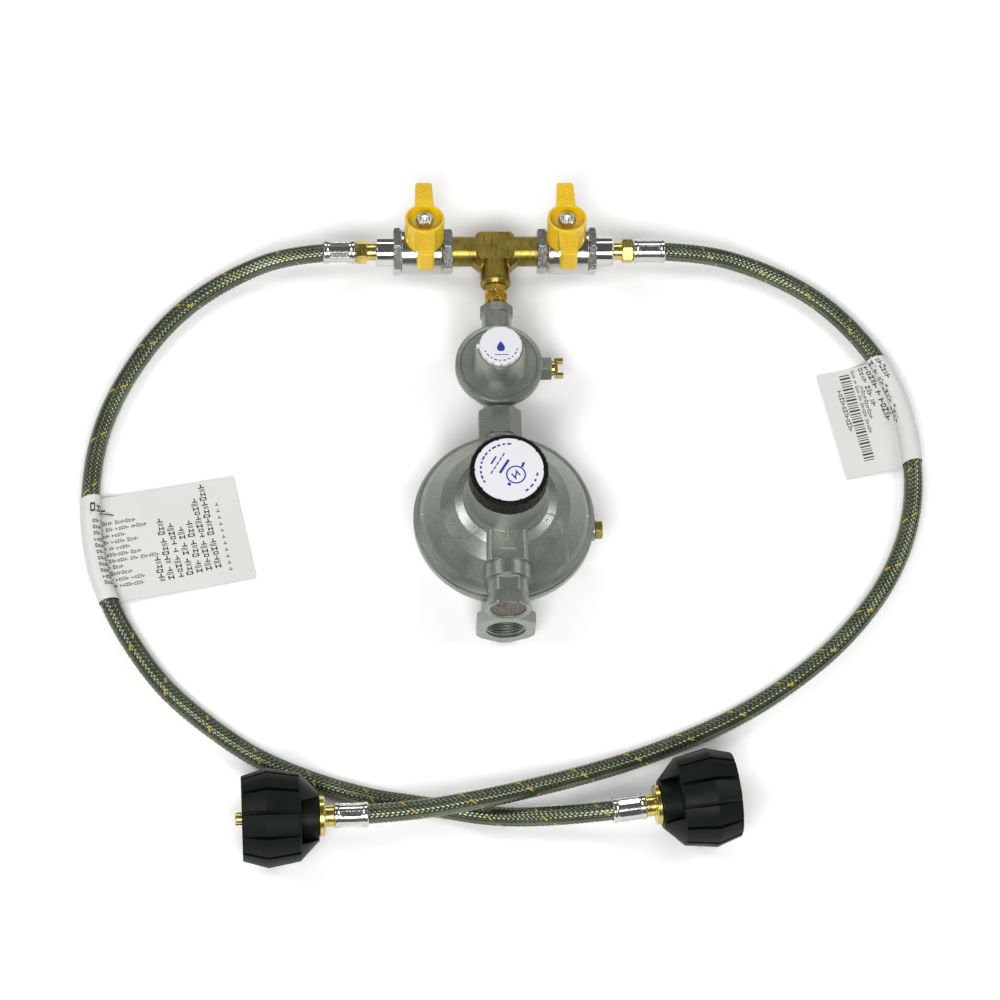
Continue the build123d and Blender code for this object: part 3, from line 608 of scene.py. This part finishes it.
GLYPHS = (((0, 0, 0.24, 1), (0.76, 0, 1, 1), (0.24, 0.78, 0.76, 1), (0.24, 0, 0.76, 0.22)),
          ((0, 0, 0.26, 1), (0.26, 0.4, 1, 0.62)),
          ((0.1, 0, 0.36, 1), (0.64, 0, 0.9, 1)),
          ((0, 0.76, 1, 1), (0, 0, 1, 0.24), (0.38, 0.24, 0.64, 0.76)))


def word(u, v, upright, letters, size):
    """Row of small barred marks that stands for a printed word, as (u, v) corner lists."""
    blocks, run = [], 0.0
    for index in range(letters):
        wide = size * (0.52, 0.66, 0.44, 0.58)[(index * 7 + letters) % 4]
        tall = size * (1.0, 0.74, 0.74, 0.88)[(index * 5 + letters) % 4]
        for x0, y0, x1, y1 in GLYPHS[(index * 3 + letters) % 4]:
            box = [(run + x * wide, y * tall) for x, y in ((x0, y0), (x1, y0), (x1, y1), (x0, y1))]
            if upright:
                blocks.append([(u - y, v - x) for x, y in box])
            else:
                blocks.append([(u + x, v - y) for x, y in box])
        run += wide + 0.15 * size
    return blocks, run + 0.42 * size


def text_row(u, v, upright, words, size):
    """Words of the given letter counts, one after another."""
    blocks = []
    for letters in words:
        made, run = word(u, v, upright, letters, size)
        blocks += made
        if upright:
            v -= run
        else:
            u += run
    return blocks


def left_print():
    """A heading and eleven short lines over the loop, and eight upright lines on the flap."""
    blocks = []
    columns = ((6,), (3, 6, 4), (5, 1, 5), (4, 3, 3), (3, 4, 4), (7, 9), (7, 12))
    for index, words in enumerate(columns):
        blocks += text_row(33.5 + 6.0 * index, 27.0 - 0.4 * index, True, words, 4.3)
    for index in range(11):
        blocks += text_row(76.0, 27.5 - 4.5 * index, True, (1,), 3.0)
    lines = ((3, 3, 4, 8), (4, 3, 3, 5, 6), (3, 6, 5), (9, 5, 4), (8, 2, 5), (3, 2, 9, 4),
             (7, 7, 3, 7), (8, 4), (4, 2, 8), (5, 2, 5, 5), (4, 4, 9))
    for index, words in enumerate(lines):
        blocks += text_row(-11.5, -16.8 + 4.3 * index, False, words, 2.5)
    blocks += text_row(-12.5, -24.2, False, (4,), 6.0)
    blocks.append([(-12.5, -22.6), (9.0, -22.6), (9.0, -23.4), (-12.5, -23.4)])
    return blocks


def right_print():
    """Four bold upright lines over the loop, small lines, a row of bars and its figures."""
    blocks = []
    for u, words, size in ((-9.5, (6,), 3.7), (-3.4, (3, 6, 4), 4.6), (5.2, (5, 1, 5), 4.6),
                           (10.8, (4, 3, 2), 4.0), (14.4, (14,), 2.5),
                           (17.4, (4, 2, 4, 3, 7, 7), 2.2), (29.4, (13,), 3.3)):
        start = 24.0 if len(words) == 1 and u > 0 else 36.0
        blocks += text_row(u, start, True, words, size)
    low, high, place = 18.8, 25.6, 34.0
    for index in range(64):
        wide = (0.7, 0.6, 1.3, 0.5, 0.9, 0.6, 0.5, 0.8)[(index * 5) % 8]
        after = place - wide
        if index % 2 == 0:
            blocks.append([(low, place), (high, place), (high, after), (low, after)])
        place = after - 0.25
    return blocks


def add_tag_print(side):
    """Print on the upper face of a tag, following its curve."""
    tag = TAG_SHEETS[side]
    verts, faces = [], []
    for block in left_print() if side == "left" else right_print():
        faces.append(list(range(len(verts), len(verts) + 4)))
        verts += [tag.spot(u, v, 0.05, 0.20 if u < 6 else 0.10) for u, v in block]
    made = new_mesh(f"{side}_tag_print", verts, faces, [GREY_INK], smooth=False)
    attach(made, "manifold")


def add_screen():
    """Woven wire across the vent."""
    verts, faces = [], []
    radius, pitch, wire, sides = 10.75, 1.8, 0.25, 5
    diagonal = 0.707         # turns the weave by 45 degrees
    count = int(radius / pitch)
    for crossing in (0, 1):
        for k in range(-count, count + 1):
            offset = k * pitch
            half = (radius ** 2 - offset ** 2) ** 0.5
            steps = max(4, int(half * 2 / 0.32))
            first = len(verts)
            for i in range(steps + 1):
                run = -half + 2 * half * i / steps
                lift = 0.24 * cos(pi * run / pitch) * (1 if (k + crossing) % 2 else -1)
                for j in range(sides):
                    a = 2 * pi * j / sides
                    u, v = offset + wire * cos(a), lift + wire * sin(a)
                    x, z = (u - run, u + run) if crossing else (u + run, run - u)
                    verts.append(Vector((x * diagonal, SCREEN_Y + v, VENT_Z + z * diagonal)) * MM)
            faces += strip_faces(steps + 1, sides, first=first, closed=True).tolist()
    made = new_mesh("vent_mesh", verts, faces, [turned_brass("mesh_wire", (0.50, 0.48, 0.40),
                                                             0.3).finish(metallic=1.0)])
    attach(made, "manifold")
    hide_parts("vent_screen")


def add_outlet_thread():
    """Ridge of the pipe thread that winds round inside the gas outlet."""
    turns, steps, pitch = 9, 64, 1.814
    root, crest, half = 12.3, 11.35, 0.75
    verts = []
    for i in range(turns * steps + 1):
        angle = 2 * pi * i / steps
        run = OUTLET_Y + 1.1 + pitch * i / steps
        for radius, shift in ((root, -half), (crest, 0.0), (root, half)):
            verts.append(Vector((radius * cos(angle), run + shift,
                                 PORT_Z + radius * sin(angle))) * MM)
    made = new_mesh("outlet_thread", verts, strip_faces(turns * steps + 1, 3).tolist(),
                    [MATERIALS["zinc"]])
    made.data.set_sharp_from_angle(angle=radians(40))
    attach(made, "manifold")


def tube(name, points, radius, material, sides=6):
    """Thin round bead along points in millimetres."""
    line = np.array(points, float) * MM
    tangent = np.gradient(line, axis=0)
    tangent /= np.linalg.norm(tangent, axis=1)[:, None]
    first = np.cross(tangent, np.array([0.3, 0.2, 1.0]))
    first /= np.linalg.norm(first, axis=1)[:, None]
    second = np.cross(tangent, first)
    angles = np.linspace(0, 2 * pi, sides, endpoint=False)
    ring = (np.cos(angles)[None, :, None] * first[:, None] + np.sin(angles)[None, :, None]
            * second[:, None])
    verts = (line[:, None, :] + ring * radius * MM).reshape(-1, 3)
    faces = strip_faces(len(line), sides, closed=True).tolist()
    faces += [list(range(sides)), [len(verts) - sides + i for i in reversed(range(sides))]]
    made = new_mesh(name, verts, faces, [material])
    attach(made, "manifold")


DISH = ((24.8, 68.4), (26.5, 66.6), (31.5, 63.6), (40.0, 56.3), (50.0, 45.2), (52.8, 41.4))


def on_dish(x, y, sink=0.0):
    """Point on the dished bonnet above a place in its plan."""
    radius = (x * x + y * y) ** 0.5
    height = np.interp(radius, [r for r, z in DISH], [z for r, z in DISH])
    return (x, SECOND_Y + y, height - sink)


def smooth_path(points):
    """Path through a few corners, rounded three times."""
    for _ in range(3):
        cut = [points[0]]
        for a, b in zip(points, points[1:]):
            cut += [(0.75 * a[0] + 0.25 * b[0], 0.75 * a[1] + 0.25 * b[1]),
                    (0.25 * a[0] + 0.75 * b[0], 0.25 * a[1] + 0.75 * b[1])]
        points = cut + [points[-1]]
    return points


def add_dish_marks():
    """Panel seams and a double ridge cast into the bonnet, with three small pips; the seam is
    coloured darker than the zinc as painted shade.
    """
    seam = smooth_path([(-46, -17.8), (-34.5, -21.4), (-23.5, -25.4), (-17.2, -21.5), (-17, -19.5)])
    tube("left_seam", [on_dish(x, y, 0.05) for x, y in seam], 0.22, SEAM_PAINTED_SHADE)
    ridge = smooth_path([(23.0, -11.2), (29.5, -10.6), (34.5, -19.0), (37.2, -27.0), (37.6, -36.0)])
    for shift in (0.0, 1.1):
        path = [on_dish(x + shift, y + 0.2 * shift, 0.05) for x, y in ridge]
        tube(f"right_ridge_{shift}", path, 0.24, MATERIALS["zinc"])
    for index, (x, y) in enumerate(((24.6, -15.0), (-50.9, -0.3), (51.1, -2.1))):
        bpy.ops.mesh.primitive_uv_sphere_add(segments=16, ring_count=10, radius=0.75 * MM,
                                             location=Vector(on_dish(x, y)) * MM)
        pip = bpy.context.object
        pip.name = f"pip_{index}"
        pip.data.materials.append(MATERIALS["steel"])
        pip.data.shade_smooth()
        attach(pip, "manifold")


# Darker than the zinc: painted shade along the bonnet's seam line.
SEAM_PAINTED_SHADE = coated("seam_painted_shade", (0.15, 0.165, 0.145), 0.0, 0.5, 0.05, 1500.0, 0.2).finish(
    metallic=0.5)

add_labels()
for tag_side in SIDES:
    add_tag_print(tag_side)
add_screen()
add_outlet_thread()
add_dish_marks()


# ---------------------------------------------------------------- springs and diaphragms

MEMBRANE = 0.8           # thickness of both diaphragms


def add_coil(node):
    """A copy of the spring node's mesh, fixed where the node stands; the node is hidden."""
    coil = bpy.data.objects.new(f"{node}_coil", nodes[node].data.copy())
    bpy.context.scene.collection.objects.link(coil)
    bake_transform(coil)
    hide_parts(node)


def add_membrane(node, centre_y, low, radii):
    """A flat rubber disc of the given thickness in place of the node, fixed where it is built.

    radii are its hole, the edge of the plate, the edge of the clamp and its rim.
    """
    hole, plate, clamp, rim = radii
    rings = np.concatenate([[hole], np.linspace(plate, clamp, 10), [rim]])
    profile = [(r, low) for r in rings] + [(r, low + MEMBRANE) for r in rings[::-1]]
    turns = np.linspace(0, 2 * pi, 96, endpoint=False)
    verts = [(r * cos(a) * MM, (centre_y + r * sin(a)) * MM, z * MM)
             for a in turns for r, z in profile]
    faces, count = [], len(profile)
    for row in range(len(turns)):
        after = (row + 1) % len(turns)
        for k in range(count):
            step = (k + 1) % count
            faces.append([row * count + k, after * count + k, after * count + step,
                          row * count + step])
    disc = new_mesh(f"{node}_disc", verts, faces, [MATERIALS["seal_rubber"]])
    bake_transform(disc)
    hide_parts(node)


add_coil("first_spring")
add_coil("main_spring")
add_membrane("first_diaphragm", FIRST_Y, 32.1, (2.55, 11.4, 24.0, 27.3))
add_membrane("second_diaphragm", SECOND_Y, 37.5, (3.05, 30.4, 46.5, 53.0))


# ---------------------------------------------------------------- floor and light

def add_floor():
    """Plain pale ground a little under the object."""
    m = Shader("floor")
    cloud = m.noise(3.0, 2.0)
    m.link(m.ramp(cloud, (0.3, (0.90, 0.90, 0.90)), (0.7, (0.92, 0.92, 0.92))),
           m.shader.inputs["Base Color"])
    m.shader.inputs["Roughness"].default_value = 0.8
    bpy.ops.mesh.primitive_plane_add(size=12, location=(0, 0, -0.0002))
    floor = bpy.context.object
    floor.name = "floor"
    floor.data.materials.append(m.finish(specular=0.2))


def add_light(name, place, target, size, power):
    data = bpy.data.lights.new(name, "AREA")
    data.shape = "RECTANGLE"
    data.size, data.size_y = size
    data.energy = power
    lamp = bpy.data.objects.new(name, data)
    lamp.location = place
    aim = Vector(target) - Vector(place)
    lamp.rotation_euler = aim.to_track_quat("-Z", "Y").to_euler()
    bpy.context.scene.collection.objects.link(lamp)


def add_world():
    world = bpy.data.worlds.new("studio")
    bpy.context.scene.world = world
    world.use_nodes = True
    background = world.node_tree.nodes["Background"]
    background.inputs["Color"].default_value = (1.0, 1.0, 1.0, 1.0)
    background.inputs["Strength"].default_value = 0.14
    bpy.context.scene.view_settings.view_transform = "Standard"


add_floor()
add_world()
add_light("key", (-0.25, -1.5, 1.7), (0, -0.05, 0), (1.3, 0.8), 42)
add_light("left", (-1.6, 0.1, 1.6), (0, 0, 0), (0.9, 0.9), 19)
add_light("right", (1.6, 0.1, 1.6), (0, 0, 0), (0.9, 0.9), 19)
add_light("back", (0.0, 1.6, 1.5), (0, 0, 0), (1.4, 0.4), 9)
